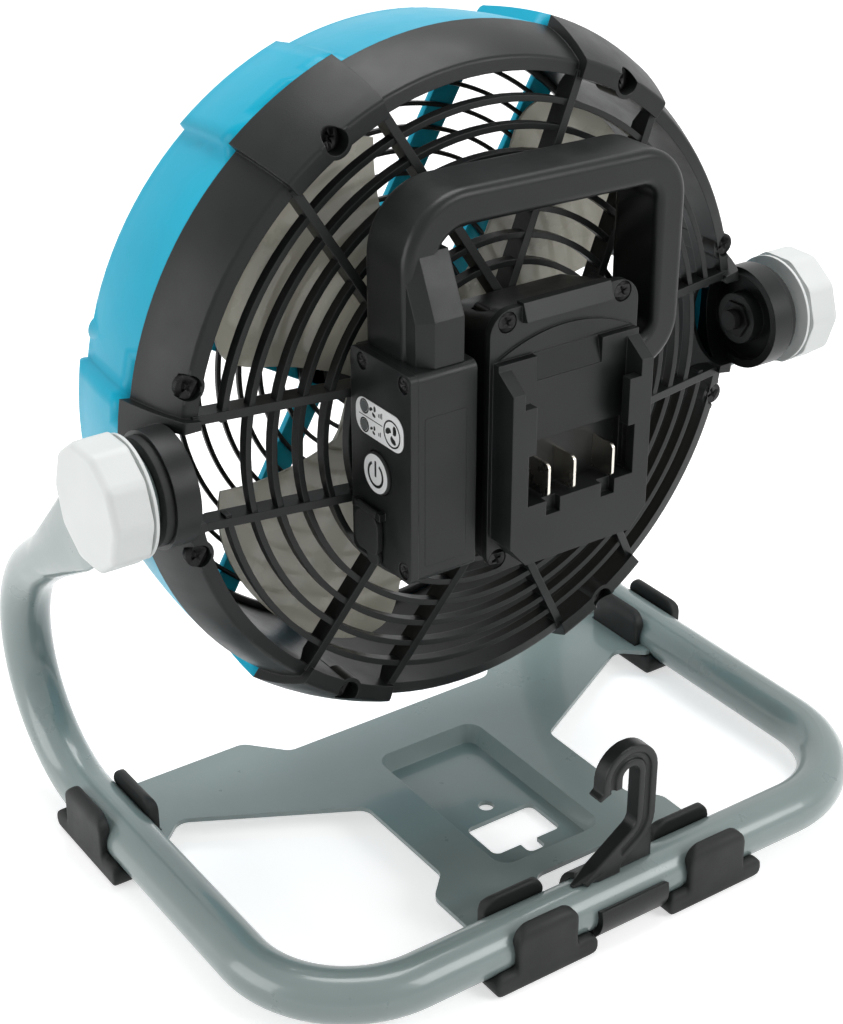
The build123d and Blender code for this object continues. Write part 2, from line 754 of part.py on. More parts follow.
def battery_mount():
    outline = Pos(0, (flange_top - flange_low) / 2) * RectangleRounded(
        2 * flange_half, flange_top + flange_low, 9)
    body = prism_y(outline, seat_face, flange_face)
    floor_low, floor_top = -37.0, 36.0
    body += block(-rail_outer, rail_outer, flange_face, floor_face, floor_low, floor_top)
    side = Polyline((flange_face, floor_top), (rail_face, floor_top - 8), (rail_face, floor_low),
                    (flange_face, floor_low), close=True)
    wall = prism_x(make_face(side), rail_outer - rail_wall, rail_outer)
    lip = block(rail_outer - rail_wall - lip_width, rail_outer - rail_wall, rail_face - lip_thick, rail_face,
                -14, 22)
    body += both_sides(wall) + both_sides(lip)
    body += block(-rail_outer, rail_outer, flange_face, rail_face, floor_low, -14)
    ridge = Polyline((flange_face, ridge_low), (flange_face + 3, ridge_low + 0.8),
                     (flange_face + 0.6, flange_top + 1), (seat_face, flange_top + 1),
                     (seat_face, ridge_low), close=True)
    body += prism_x(make_face(ridge), -ridge_half, ridge_half)
    right, left = (-rail_outer + 2, floor_top + 1), (rail_outer - 2, floor_top + 1)
    crown = make_face([ThreePointArc(right, (0, floor_top + 8), left), Line(left, right)])
    body += prism_y(crown, flange_face, flange_face + 1)
    corner = Polyline((rail_outer + 1, floor_low + 9), (rail_outer + 1, floor_low - 1),
                      (rail_outer - 7.5, floor_low - 1), close=True)
    chips = both_sides(prism_y(make_face(corner), flange_face, rail_face + 1))
    notch = make_face(Polyline((flange_face, floor_top + 1), (floor_face + 1, floor_top + 1),
                               (floor_face + 1, 27), (floor_face - 0.5, 27), close=True))
    chips.append(prism_x(notch, -14, 14))
    chips.append(block(-window_half, window_half, seat_face - 1, rail_face + 1, window_low, window_top))
    chips += both_sides(block(9, 15, rail_face - 3, rail_face + 1, -20, -14))
    for hand in (1, -1):
        for x, z in ((hand * mount_screw_x, mount_screw_z), (hand * low_screw_x, low_screw_z)):
            chips.append(rod_y(3.8, flange_face - 1.6, rail_face + 1, x, z))
            chips.append(rod_y(1.8, seat_face - 1, flange_face, x, z))
    return body - chips


def terminal_places():
    return (14.0, 3.0, -14.0)


def terminal_block():
    body = block(-window_half, window_half, seat_face - 4, flange_face + 0.5, window_low, window_top)
    body += block(-window_half - 2, window_half + 2, seat_face - 4, seat_face, window_low - 2, window_top + 2)
    half = blade_sheet / 2
    slots = [block(x - half, x + half, seat_face - 5, rail_face, window_low + 1, window_low + 13.5)
             for x in terminal_places()]
    return body - slots


def terminals():
    blades = []
    for x in terminal_places():
        middle = Pos((seat_face - 7 + rail_face) / 2, window_low + 7.25)
        face = middle * RectangleRounded(rail_face - seat_face + 7, 12.5, 2)
        blades.append(prism_x(face, x - blade_sheet / 2, x + blade_sheet / 2))
    return blades


def mount_screws():
    screws = []
    for hand in (1, -1):
        for x, z in ((hand * mount_screw_x, mount_screw_z), (hand * low_screw_x, low_screw_z)):
            top = flange_face - 1.6
            screws.append(rod_y(3.5, top, top + 1.4, x, z) + rod_y(1.6, seat_face - 14, top, x, z))
    return screws


# Control box

def control_box():
    shell = block(box_inner, cover_face, hub_face, box_face, -box_low, box_top)
    rear = shell.edges().filter_by(Axis.X).group_by(Axis.Y)[-1]
    shell = fillet(rear, radius=3)
    room = block(box_inner + box_wall, cover_face + 1, hub_face + box_wall, box_face - box_wall,
                 -box_low + box_wall, box_top - box_wall)
    shell -= room
    posts = [rod_x(3.6, box_inner + 1, cover_face, y, z) for y, z in cover_screw_places()]
    posts += [rod_x(2.5, box_inner + 1, board_low, y, z) for y, z in ((22.0, 26.0), (34.0, -24.0))]
    holes = [rod_x(1.5, cover_face - 10, cover_face + 1, y, z) for y, z in cover_screw_places()]
    return shell + posts - holes


def cover_screw_places():
    near, far = hub_face + 4.0, box_face - 4.5
    return [(near, box_top - 4), (far, box_top - 4), (near, -box_low + 4), (far, -box_low + 4)]


def led_places():
    return [(17.5, 19.2), (17.5, 12.3)]


def label_face():
    return Pos(26.5, 15.7) * RectangleRounded(28.5, 13.0, 5)


def control_cover():
    edge = (hub_face - 3 + box_face) / 2
    face = Pos(edge, (box_top - box_low) / 2) * RectangleRounded(
        box_face - hub_face + 3, box_top + box_low, 2.5)
    plate = prism_x(face, cover_face, box_outer)
    cuts = [prism_x(label_face(), box_outer - 0.5, box_outer + 1)]
    cuts.append(rod_x(button_radius + button_play, cover_face - 1, box_outer + 1, button_y, button_z))
    cuts.append(rod_x(5.0, cover_face - 1, box_outer + 1, jack_y, jack_z))
    cuts += [rod_x(2.0, cover_face - 1, box_outer + 1, y, z) for y, z in led_places()]
    for y, z in cover_screw_places():
        cuts.append(rod_x(3.1, box_outer - 1.8, box_outer + 1, y, z))
        cuts.append(rod_x(1.6, cover_face - 1, box_outer, y, z))
    return plate - cuts


def indicator_panel():
    plate = prism_x(label_face(), box_outer - 0.5, box_outer + 0.2)
    return plate - [rod_x(2.0, box_outer - 2, box_outer + 1, y, z) for y, z in led_places()]


def led_lenses():
    return [rod_x(2.0, board_face + lamp_height, box_outer + 0.5, y, z) for y, z in led_places()]


def power_button():
    cap = rod_x(button_radius, box_outer - 1.6, box_outer + 1.2, button_y, button_z)
    cap = fillet(cap.edges().group_by(Axis.X)[-1], radius=0.6)
    stem = rod_x(3.0, board_face + switch_height + 1.4, box_outer - 1.6, button_y, button_z)
    collar = rod_x(button_radius + 1.4, cover_face - 2.4, cover_face - side_gap, button_y, button_z)
    return cap + stem + collar


def circuit_board():
    board = block(board_low, board_face, hub_face + 5, box_face - 9, -box_low + 9, box_top - 9)
    switch = block(board_face, board_face + switch_height, button_y - 3, button_y + 3,
                   button_z - 3, button_z + 3)
    lamps = [rod_x(2.2, board_face, board_face + lamp_height, y, z) for y, z in led_places()]
    chip = block(board_face, board_face + 1.8, 28, 35, -22, -14)
    return board + switch + lamps + chip


def dc_jack():
    barrel = rod_x(5.0, cover_face, box_outer, jack_y, jack_z)
    barrel += rod_x(5.5, board_face, cover_face, jack_y, jack_z)
    barrel -= rod_x(3.2, board_face + 5, box_outer + 1, jack_y, jack_z)
    return barrel + rod_x(1.0, board_face + 3, box_outer - 2, jack_y, jack_z)


def dc_jack_cover():
    # Rubber flap hung on a round hinge bead above the socket
    x0 = box_outer + side_gap
    face = Pos(jack_y, jack_z - 0.5) * RectangleRounded(14, 15, 4)
    flap = prism_x(face, x0, x0 + 2.2)
    tab = Pos(jack_y + 3, jack_z - 9) * RectangleRounded(7, 6, 2.4)
    flap += prism_x(tab, x0, x0 + 1.6)
    bead = Pos(x0 + 1.3, jack_y, jack_z + 8) * Rot(90, 0, 0) * Cylinder(1.3, 12)
    return flap + bead


def flap_keeper():
    # Small ears on the cover that carry the flap's hinge bead
    ears = []
    for y in (jack_y - 7.4, jack_y + 7.4):
        ear = block(box_outer, box_outer + side_gap + 2.2, y - 1.1, y + 1.1, jack_z + 6.6, jack_z + 9.4)
        ears.append(ear)
    return ears


def cover_screws():
    screws = []
    for y, z in cover_screw_places():
        head = rod_x(2.9, box_outer - 1.8, box_outer - 0.4, y, z)
        screws.append(head + rod_x(1.5, cover_face - 9, box_outer - 1.8, y, z))
    return screws


# Handle

def handle():
    left = (grip_left, box_top)
    shoulder = (grip_left, grip_top)
    corner = (grip_right, grip_top - 1.5)
    low = (grip_right, grip_end)
    end = (-flange_half + 1, grip_end)
    line = FilletPolyline(left, shoulder, corner, low, end, radius=[18, 13, 13])
    grip = prism_y(trace(line, grip_thick), grip_front, grip_rear)
    long_edges = grip.faces().sort_by(Axis.Y)[-1].edges() + grip.faces().sort_by(Axis.Y)[0].edges()
    soft = [edge for edge in long_edges if edge.length > grip_thick + 0.5]
    grip = fillet(soft, radius=3.2)
    rear, step = box_face - 2, box_top + 16
    high = grip_top - 12
    knee = grip_front + 5
    front = knee + 12
    side = Polyline((front, box_top), (rear, box_top), (rear, step), (grip_rear - 0.5, high),
                    (knee, high), (knee, step + 6), (front, step - 6), close=True)
    x0, x1 = grip_left - grip_thick / 2 - 4, grip_left + grip_thick / 2 - 0.8
    leg = prism_x(make_face(side), x0, x1)
    outer = leg.faces().sort_by(Axis.X)[-1]
    long_side = outer.edges().filter_by(lambda e: e.center().Y > rear - 6 and e.center().Z > box_top + 1)
    leg = chamfer(long_side, length=4.5)
    grip += leg
    grip -= block(-flange_half + 1, flange_half, 0, 60, -60, 60)
    room = hub_face + side_gap
    cone = Polyline((0, room), (hub_disc, room), (open_radius, dome(open_radius) + 1), (open_radius, -30),
                    (0, -30), close=True)
    return grip - turned(cone)


# Fasteners and trunnion hardware

def housing_screws():
    screws = []
    for x, z in screw_places():
        screws.append(rod_y(4.2, -8, -5.2, x, z) + rod_y(1.7, -joint_depth - 15, -8, x, z))
    return screws


def trunnion_nuts():
    wall = boss_end - boss_floor
    hole = rod_x(stud_radius + running_fit, wall - 2 * nut_thick, boss_end, -pivot_in)
    return both_sides(nut_hex(wall - nut_thick, wall) - hole)


def friction_washers():
    disc = rod_x(boss_radius - 1.5, boss_end, boss_end + washer_thick, -pivot_in)
    return both_sides(disc - rod_x(stud_radius + side_gap, boss_start, knob_face, -pivot_in))


def stud():
    wall = boss_end - boss_floor
    shank = rod_x(stud_radius, wall - nut_thick - 3, knob_face + 8, -pivot_in)
    return shank + nut_hex(knob_face + 4, knob_face + 9.5)


def knob():
    # Ten-sided cap over a thin flange, with a groove between the two
    face = Pos(-pivot_in, 0) * RegularPolygon(knob_radius + 0.6, knob_sides)
    face = fillet(face.vertices(), radius=6)
    body = prism_x(face, knob_face + 2.4, knob_face + knob_length)
    body = fillet(body.edges().group_by(Axis.X)[-1], radius=2.4)
    body += rod_x(knob_radius - 3, knob_face, knob_face + 2.4, -pivot_in)
    body += rod_x(knob_radius - 0.6, knob_face, knob_face + 1.2, -pivot_in)
    return body - stud()


def group(solids):
    return Compound(children=list(solids))


def save(name, shape, head=True):
    placed = in_head(shape) if head else shape
    placed.label = name
    export_step(placed, os.path.join("parts", name + ".step"))


os.makedirs("parts", exist_ok=True)
stand_parts = {"stand_tube": stand_tube(), "base_plate": base_plate(), "hook": hook()}
stand_parts.update({"foot_left": side_foot(1), "foot_right": side_foot(-1)})
stand_parts.update({"foot_rear_left": rear_foot(1), "foot_rear_right": rear_foot(-1)})
for name, shape in stand_parts.items():
    save(name, shape, head=False)
left_knob, right_knob = both_sides(knob())
left_stud, right_stud = both_sides(stud())
head_parts = {"rear_housing": rear_housing(), "front_shroud": front_shroud(), "front_guard": front_guard(),
              "fan_blade": impeller(), "shaft_nut": shaft_nut(), "motor_shaft": motor_shaft(),
              "motor_rotor": motor_rotor(), "motor_can": motor_can(), "motor_end_cap": motor_end_cap(),
              "pedestal": pedestal(), "battery_mount": battery_mount(), "terminal_block": terminal_block(),
              "control_box": control_box(), "control_cover": control_cover() + flap_keeper(),
              "indicator_panel": indicator_panel(), "power_button": power_button(),
              "circuit_board": circuit_board(), "dc_jack": dc_jack(), "dc_jack_cover": dc_jack_cover(),
              "handle": handle(), "knob_left": left_knob, "knob_right": right_knob,
              "stud_left": left_stud, "stud_right": right_stud}
for name, shape in head_parts.items():
    save(name, shape)
groups = {"motor_magnets": motor_magnets().solids(), "motor_bushes": bushes(), "motor_screws": motor_screws(),
          "pedestal_screws": pedestal_screws(), "terminals": terminals(), "mount_screws": mount_screws(),
          "led_lenses": led_lenses(),
          "cover_screws": cover_screws(), "housing_screws": housing_screws(),
          "trunnion_nuts": trunnion_nuts(), "friction_washers": friction_washers()}
for name, solids in groups.items():
    save(name, group(solids))
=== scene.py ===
import bpy
import bmesh
import json
import math
from mathutils import Matrix, Vector


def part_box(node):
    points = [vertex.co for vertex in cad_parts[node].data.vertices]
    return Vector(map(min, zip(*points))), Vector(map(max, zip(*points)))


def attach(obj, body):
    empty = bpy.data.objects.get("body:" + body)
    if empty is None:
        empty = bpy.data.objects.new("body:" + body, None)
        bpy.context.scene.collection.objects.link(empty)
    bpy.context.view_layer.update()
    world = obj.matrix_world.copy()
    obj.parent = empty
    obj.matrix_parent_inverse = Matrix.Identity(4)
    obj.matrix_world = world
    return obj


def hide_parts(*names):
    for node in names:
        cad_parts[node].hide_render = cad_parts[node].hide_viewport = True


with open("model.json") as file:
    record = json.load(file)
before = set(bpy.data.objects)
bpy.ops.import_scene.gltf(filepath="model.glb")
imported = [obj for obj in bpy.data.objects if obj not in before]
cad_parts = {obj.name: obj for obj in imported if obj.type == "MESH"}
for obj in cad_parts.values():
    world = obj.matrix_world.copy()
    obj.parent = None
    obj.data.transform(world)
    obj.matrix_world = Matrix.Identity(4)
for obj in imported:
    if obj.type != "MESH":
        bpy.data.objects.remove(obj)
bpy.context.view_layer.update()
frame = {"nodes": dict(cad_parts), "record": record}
nodes = frame["nodes"]
MM = 0.001

# Directions as the photograph shows them, from the rear of the fan
LEFTWARD = Vector((1, 0, 0))
REARWARD = Vector((0, 1, 0))
UPWARD = Vector((0, 0, 1))


# Materials

# Where most values of a noise lie
NOISE_LOW = 0.3
NOISE_HIGH = 0.7
# Cosine of the turn from the true normal to the rounded one, on an edge and on a flat
EDGE_COSINE = 0.78
FLAT_COSINE = 0.99
BEVEL_SAMPLES = 6
# Size of the clouds of tone and of the smears of gloss
CLOUD_SIZE = 50 * MM
SMEAR_SIZE = 20 * MM
# How much of an edge is rubbed
LEAST_WEAR = 0.1
MOST_WEAR = 0.6


def noise(tree, place, size, detail, rough=0.5):
    made = tree.nodes.new("ShaderNodeTexNoise")
    made.inputs["Scale"].default_value = 1 / size
    made.inputs["Detail"].default_value = detail
    made.inputs["Roughness"].default_value = rough
    tree.links.new(place, made.inputs["Vector"])
    return made.outputs["Fac"]


def spread(tree, value, low, high, from_low=NOISE_LOW, from_high=NOISE_HIGH):
    made = tree.nodes.new("ShaderNodeMapRange")
    made.inputs["From Min"].default_value = from_low
    made.inputs["From Max"].default_value = from_high
    made.inputs["To Min"].default_value = low
    made.inputs["To Max"].default_value = high
    tree.links.new(value, made.inputs["Value"])
    return made.outputs["Result"]


def combined(tree, operation, first, second):
    made = tree.nodes.new("ShaderNodeMath")
    made.operation = operation
    tree.links.new(first, made.inputs[0])
    tree.links.new(second, made.inputs[1])
    return made.outputs["Value"]


def mixed(tree, factor, first, second):
    # Each colour is a tuple or the output of another node
    made = tree.nodes.new("ShaderNodeMix")
    made.data_type = "RGBA"
    tree.links.new(factor, made.inputs[0])
    colours = [socket for socket in made.inputs if socket.type == "RGBA"]
    for socket, colour in zip(colours, (first, second)):
        if isinstance(colour, tuple):
            socket.default_value = (*colour, 1.0)
        else:
            tree.links.new(colour, socket)
    return [out for out in made.outputs if out.type == "RGBA"][0]


def rounded_normal(tree, radius):
    # Normals that turn smoothly over a sharp edge
    made = tree.nodes.new("ShaderNodeBevel")
    made.samples = BEVEL_SAMPLES
    made.inputs["Radius"].default_value = radius
    return made.outputs["Normal"]


def edge_mask(tree, rounded):
    # One on an edge, nothing on a flat
    true = tree.nodes.new("ShaderNodeNewGeometry").outputs["Normal"]
    turn = tree.nodes.new("ShaderNodeVectorMath")
    turn.operation = "DOT_PRODUCT"
    tree.links.new(rounded, turn.inputs[0])
    tree.links.new(true, turn.inputs[1])
    return spread(tree, turn.outputs["Value"], 1.0, 0.0, EDGE_COSINE, FLAT_COSINE)


def bump(tree, height, depth, under):
    made = tree.nodes.new("ShaderNodeBump")
    made.inputs["Distance"].default_value = depth
    tree.links.new(height, made.inputs["Height"])
    tree.links.new(under, made.inputs["Normal"])
    return made.outputs["Normal"]


def moulded(name, dark, light, worn, rough, grain=0.4 * MM, depth=0.03 * MM, edge=0.45 * MM, **sockets):
    # A moulded or painted surface: cloudy tone, uneven gloss, fine grain, rounded and rubbed edges
    material = bpy.data.materials.new(name)
    material.use_nodes = True
    tree = material.node_tree
    shader = tree.nodes["Principled BSDF"]
    place = tree.nodes.new("ShaderNodeTexCoord").outputs["Object"]
    rounded = rounded_normal(tree, edge)
    clouds = noise(tree, place, CLOUD_SIZE, detail=4.0)
    smears = noise(tree, place, SMEAR_SIZE, detail=5.0, rough=0.6)
    fine = noise(tree, place, grain, detail=2.0)
    wear = spread(tree, smears, LEAST_WEAR, MOST_WEAR)
    rubbed = combined(tree, "MULTIPLY", edge_mask(tree, rounded), wear)
    colour = mixed(tree, spread(tree, clouds, 0.0, 1.0), dark, light)
    tree.links.new(mixed(tree, rubbed, colour, worn), shader.inputs["Base Color"])
    tree.links.new(spread(tree, smears, *rough), shader.inputs["Roughness"])
    tree.links.new(bump(tree, fine, depth, rounded), shader.inputs["Normal"])
    for key, value in sockets.items():
        shader.inputs[key.replace("_", " ")].default_value = value
    return material


FINISHES = {
    "grey_paint": dict(
        dark=(0.180, 0.235, 0.228), light=(0.211, 0.270, 0.263), worn=(0.31, 0.37, 0.36),
        rough=(0.26, 0.36), grain=1.3 * MM, Coat_Weight=0.6, Coat_Roughness=0.10),
    "black_plastic": dict(
        dark=(0.0060, 0.0068, 0.0068), light=(0.0100, 0.0112, 0.0112), worn=(0.045, 0.049, 0.048),
        rough=(0.30, 0.44), Specular_IOR_Level=0.27),
    "blue_plastic": dict(
        dark=(0.001, 0.360, 0.535), light=(0.002, 0.405, 0.590), worn=(0.02, 0.50, 0.68),
        rough=(0.28, 0.38), grain=0.8 * MM, Specular_IOR_Level=0.20),
    "smoke_plastic": dict(
        dark=(0.61, 0.597, 0.49), light=(0.71, 0.69, 0.575), worn=(0.76, 0.74, 0.64),
        rough=(0.20, 0.34), Alpha=0.84),
    "black_rubber": dict(
        dark=(0.0085, 0.0092, 0.0092), light=(0.0135, 0.0145, 0.0144), worn=(0.034, 0.037, 0.036),
        rough=(0.48, 0.66), grain=0.7 * MM, edge=0.8 * MM, Specular_IOR_Level=0.3),
    "pale_plastic": dict(
        dark=(0.680, 0.708, 0.695), light=(0.735, 0.758, 0.748), worn=(0.80, 0.82, 0.81),
        rough=(0.40, 0.56), edge=0.6 * MM),
    "steel": dict(
        dark=(0.42, 0.43, 0.44), light=(0.58, 0.59, 0.60), worn=(0.72, 0.73, 0.74),
        rough=(0.22, 0.42), edge=0.2 * MM, Metallic=1.0),
    # Near-black steel: partly the dark finish of the screws, partly painted shade of the holes and pockets
    # that screws, nuts and studs sit in
    "dark_steel": dict(
        dark=(0.004, 0.004, 0.0045), light=(0.008, 0.008, 0.0085), worn=(0.016, 0.016, 0.017),
        rough=(0.34, 0.5), edge=0.2 * MM, Metallic=0.2, Specular_IOR_Level=0.25),
    "bronze": dict(
        dark=(0.60, 0.57, 0.50), light=(0.74, 0.71, 0.64), worn=(0.86, 0.85, 0.80),
        rough=(0.16, 0.32), edge=0.25 * MM, Metallic=1.0),
    "magnet": dict(
        dark=(0.03, 0.03, 0.032), light=(0.06, 0.06, 0.062), worn=(0.10, 0.10, 0.10), rough=(0.5, 0.7)),
    "board": dict(
        dark=(0.01, 0.10, 0.04), light=(0.02, 0.14, 0.06), worn=(0.05, 0.2, 0.1), rough=(0.3, 0.5)),
    "panel_film": dict(
        dark=(0.74, 0.75, 0.75), light=(0.80, 0.81, 0.81), worn=(0.82, 0.83, 0.83),
        rough=(0.35, 0.5), depth=0.008 * MM, edge=0.1 * MM),
    "led_lens": dict(
        dark=(0.085, 0.095, 0.095), light=(0.13, 0.14, 0.14), worn=(0.2, 0.2, 0.2),
        rough=(0.18, 0.3), depth=0.008 * MM, Coat_Weight=0.5),
}
MATERIALS = {name: moulded(name, **finish) for name, finish in FINISHES.items()}
slot_of = {row["node"]: row["material_slot"] for row in frame["record"]["subparts"]}


def dress(obj, slot):
    obj.data.materials.clear()
    obj.data.materials.append(MATERIALS[slot])


for name, obj in nodes.items():
    dress(obj, slot_of[name])
# The nuts and studs in the knobs' pockets are plain steel; the near-black steel on them is painted shade of
# the pockets
for name in ("trunnion_nuts", "stud_left", "stud_right"):
    dress(nodes[name], "dark_steel")


# Shapes cut and smoothed from copies of the solids

WELD = 0.002 * MM
SHARP_EDGE = math.radians(32)

# Cross recess of a screw: its turn in radians, how far the cutter stands out of the head,
# and shares of the recess's reach
CROSS_TURN = 0.4
CROSS_ABOVE = 0.4 * MM
CROSS_TOP_HALF = 0.21
CROSS_LOW_REACH = 0.6
CROSS_LOW_HALF = 0.15
# Points this near to the top of a screw belong to its top face
CROWN_DEPTH = 0.05 * MM


def welded(node):
    shape = bmesh.new()
    shape.from_mesh(nodes[node].data)
    bmesh.ops.remove_doubles(shape, verts=shape.verts, dist=WELD)
    return shape


def to_object(name, shape):
    mesh = bpy.data.meshes.new(name)
    shape.to_mesh(mesh)
    shape.free()
    obj = bpy.data.objects.new(name, mesh)
    bpy.context.scene.collection.objects.link(obj)
    return obj


def carve(piece, shape):
    cutter = to_object("cutter", shape)
    cut = piece.modifiers.new("cut", "BOOLEAN")
    cut.object = cutter
    cut.operation = "DIFFERENCE"
    cut.solver = "EXACT"
    cut.use_self = True
    view = bpy.context.evaluated_depsgraph_get()
    mesh = bpy.data.meshes.new_from_object(piece.evaluated_get(view))
    piece.modifiers.remove(cut)
    piece.data = mesh
    bpy.data.objects.remove(cutter)


def settle(piece, slot, body, *stands_for):
    # Smooth faces with sharp edges, finish, body and the solids that it stands for
    piece.data.shade_smooth()
    piece.data.set_sharp_from_angle(angle=SHARP_EDGE)
    dress(piece, slot)
    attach(piece, body)
    if stands_for:
        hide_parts(*stands_for)


def islands(shape):
    # The separate solids of a node, each as a list of its points
    seen = set()
    found = []
    for start in shape.verts:
        if start in seen:
            continue
        seen.add(start)
        group = [start]
        for vert in group:
            for edge in vert.link_edges:
                other = edge.other_vert(vert)
                if other not in seen:
                    seen.add(other)
                    group.append(other)
        found.append([vert.co.copy() for vert in group])
    return found


def cross_cutters(tops, axis, size, depth):
    # Two crossed bars that sink into each head, narrower at the bottom
    shape = bmesh.new()
    across = axis.cross(UPWARD)
    levels = (
        (CROSS_ABOVE, size, size * CROSS_TOP_HALF),
        (-depth, size * CROSS_LOW_REACH, size * CROSS_LOW_HALF),
    )
    for top in tops:
        for turn in (CROSS_TURN, CROSS_TURN + math.pi / 2):
            long = UPWARD * math.cos(turn) + across * math.sin(turn)
            wide = axis.cross(long)
            corners = []
            for height, reach, half in levels:
                middle = top + axis * height
                for a, b in ((1, 1), (-1, 1), (-1, -1), (1, -1)):
                    corners.append(shape.verts.new(middle + long * (a * reach) + wide * (b * half)))
            shape.faces.new(corners[0:4])
            shape.faces.new(corners[4:8])
            for i in range(4):
                k = (i + 1) % 4
                shape.faces.new((corners[i], corners[k], corners[4 + k], corners[4 + i]))
    bmesh.ops.recalc_face_normals(shape, faces=shape.faces)
    return shape


def crossed_screws(node, axis, size, depth, body):
    shape = welded(node)
    tops = []
    for points in islands(shape):
        best = max(point.dot(axis) for point in points)
        crown = [point for point in points if point.dot(axis) > best - CROWN_DEPTH]
        tops.append(sum(crown, Vector()) / len(crown))
    piece = to_object(node + "_crossed", shape)
    carve(piece, cross_cutters(tops, axis, size, depth))
    settle(piece, slot_of[node], body, node)


def smoothed(node, grid, rounds, body):
    # A copy of a soft moulding, smoothed all over and kept inside the solid's box
    piece = to_object(node + "_soft", welded(node))
    remesh = piece.modifiers.new("remesh", "REMESH")
    remesh.mode = "VOXEL"
    remesh.voxel_size = grid
    smooth = piece.modifiers.new("smooth", "SMOOTH")
    smooth.factor = 0.5
    smooth.iterations = rounds
    view = bpy.context.evaluated_depsgraph_get()
    piece.data = bpy.data.meshes.new_from_object(piece.evaluated_get(view))
    piece.modifiers.clear()
    low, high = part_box(node)
    for vertex in piece.data.vertices:
        limits = zip(vertex.co, low, high)
        vertex.co = [min(max(value, least), most) for value, least, most in limits]
    settle(piece, slot_of[node], body, node)


crossed_screws("mount_screws", REARWARD, size=2.3 * MM, depth=1.0 * MM, body="head")
crossed_screws("cover_screws", LEFTWARD, size=1.9 * MM, depth=0.9 * MM, body="head")
crossed_screws("housing_screws", REARWARD, size=2.7 * MM, depth=1.6 * MM, body="head")
for foot in ("foot_left", "foot_right", "foot_rear_left", "foot_rear_right"):
    smoothed(foot, grid=0.6 * MM, rounds=10, body="stand")
smoothed("hook", grid=0.4 * MM, rounds=6, body="hook")


# Flat outlines

def polar(u, v, radius, degrees):
    turn = math.radians(degrees)
    return (u + radius * math.cos(turn), v + radius * math.sin(turn))


def circle(u, v, radius, count=64):
    return [polar(u, v, radius, 360 * i / count) for i in range(count)]


def arc_band(u, v, radius, width, start, end, count=48):
    # A bent bar, as a flat outline
    turns = [start + (end - start) * i / count for i in range(count + 1)]
    outer = [polar(u, v, radius + width / 2, turn) for turn in turns]
    inner = [polar(u, v, radius - width / 2, turn) for turn in turns]
    return outer + inner[::-1]


def bar(u0, u1, v0, v1):
    return [(u0, v0), (u1, v0), (u1, v1), (u0, v1)]


def rounded_bar(u0, u1, v0, v1, radius, count=8):
    line = []
    left, right = u0 + radius, u1 - radius
    low, high = v0 + radius, v1 - radius
    for u, v, start in ((right, high, 0), (left, high, 90), (left, low, 180), (right, low, 270)):
        line += [polar(u, v, radius, start + 90 * i / count) for i in range(count + 1)]
    return line


# Front of the fan: straight bars in pairs, a guard of rings, and petal blades

shaft_low, shaft_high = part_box("motor_shaft")
AXIS_X = (shaft_low.x + shaft_high.x) / 2
AXIS_Z = (shaft_low.z + shaft_high.z) / 2

# Front face of the shroud, radius of its opening and of the hub plate, and the bore that clears the old arms
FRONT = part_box("front_shroud")[0].y
FRONT_OPEN = 117.5 * MM
FRONT_HUB = 30 * MM
RIM_CHAMFER = 0.6 * MM
BORE_PLAY = 0.05 * MM
BORE_AHEAD = 2 * MM
BORE_PAST = 0.1 * MM

# Bars: turn of the first pair in degrees, distance of a bar from the pair's middle, how far a bar lies
# behind the plate's front and back, and how far it runs into the rim. Edges above LONG_EDGE run along a bar
BAR_PAIRS = 4
BAR_TURN = 30
BAR_OFFSET = 21 * MM
BAR_WIDTH = 11 * MM
BAR_DEPTH = 3 * MM
BAR_SOFT = 0.8 * MM
BAR_SINK = 0.2 * MM
BAR_BACK = 0.4 * MM
BAR_SEAT = 0.3 * MM
LONG_EDGE = 20 * MM

# Guard behind the bars: thin rings, and a flat ring along the opening
GUARD_RINGS = 9
GUARD_DEPTH = 2.5 * MM
GUARD_RING_HALF = 0.85 * MM
GUARD_RING_SOFT = 0.6 * MM
GUARD_RIM = 3 * MM
GUARD_RIM_PLAY = 0.1 * MM
GUARD_RIM_SOFT = 0.4 * MM

# Blades: turn of the first one's middle in degrees, radius where they leave the hub, radius from which
# they are flattened in full, and by what share
BLADE_COUNT = 4
BLADE_FIRST = 45
BLADE_ROOT = 30 * MM
BLADE_FREE = 48 * MM
BLADE_FLAT = 0.6
# A blade's outline, as (radius in millimetres, degrees from the blade's middle)
PETAL = [
    (30, 43.5), (45, 43), (61, 42), (75, 40), (88, 35), (96, 29.5), (102, 23), (106, 15.5), (108.5, 6.5),
    (110, -4), (109.5, -14), (106.5, -22), (100, -27), (90, -28.5), (75, -28), (60, -28.5), (45, -31),
    (30, -40),
]
# The cutter round a petal, in the same measures
CUTTER_REACH = 126
CUTTER_HALF = 44.8
CUTTER_STEPS = 8


def axis_place(radius, degrees, depth):
    x, z = polar(AXIS_X, AXIS_Z, radius, degrees)
    return Vector((x, depth, z))


def lathe(shape, profile, count=180):
    # A closed profile of (radius, depth) turned about the fan's axis
    rows = []
    for i in range(count):
        turn = 360 * i / count
        rows.append([shape.verts.new(axis_place(radius, turn, depth)) for radius, depth in profile])
    for i in range(count):
        near, far = rows[i], rows[(i + 1) % count]
        for k in range(len(profile)):
            n = (k + 1) % len(profile)
            shape.faces.new((near[k], near[n], far[n], far[k]))


def plate(shape, radius, front, rear, count=96):
    # A round plate across the fan's axis, with its front rim chamfered
    rows = []
    for reach, depth in ((radius - RIM_CHAMFER, front), (radius, front + RIM_CHAMFER), (radius, rear)):
        rows.append([shape.verts.new(axis_place(reach, 360 * i / count, depth)) for i in range(count)])
    shape.faces.new(rows[0])
    shape.faces.new(rows[2])
    for near, far in zip(rows, rows[1:]):
        for i in range(count):
            n = (i + 1) % count
            shape.faces.new((near[i], near[n], far[n], far[i]))


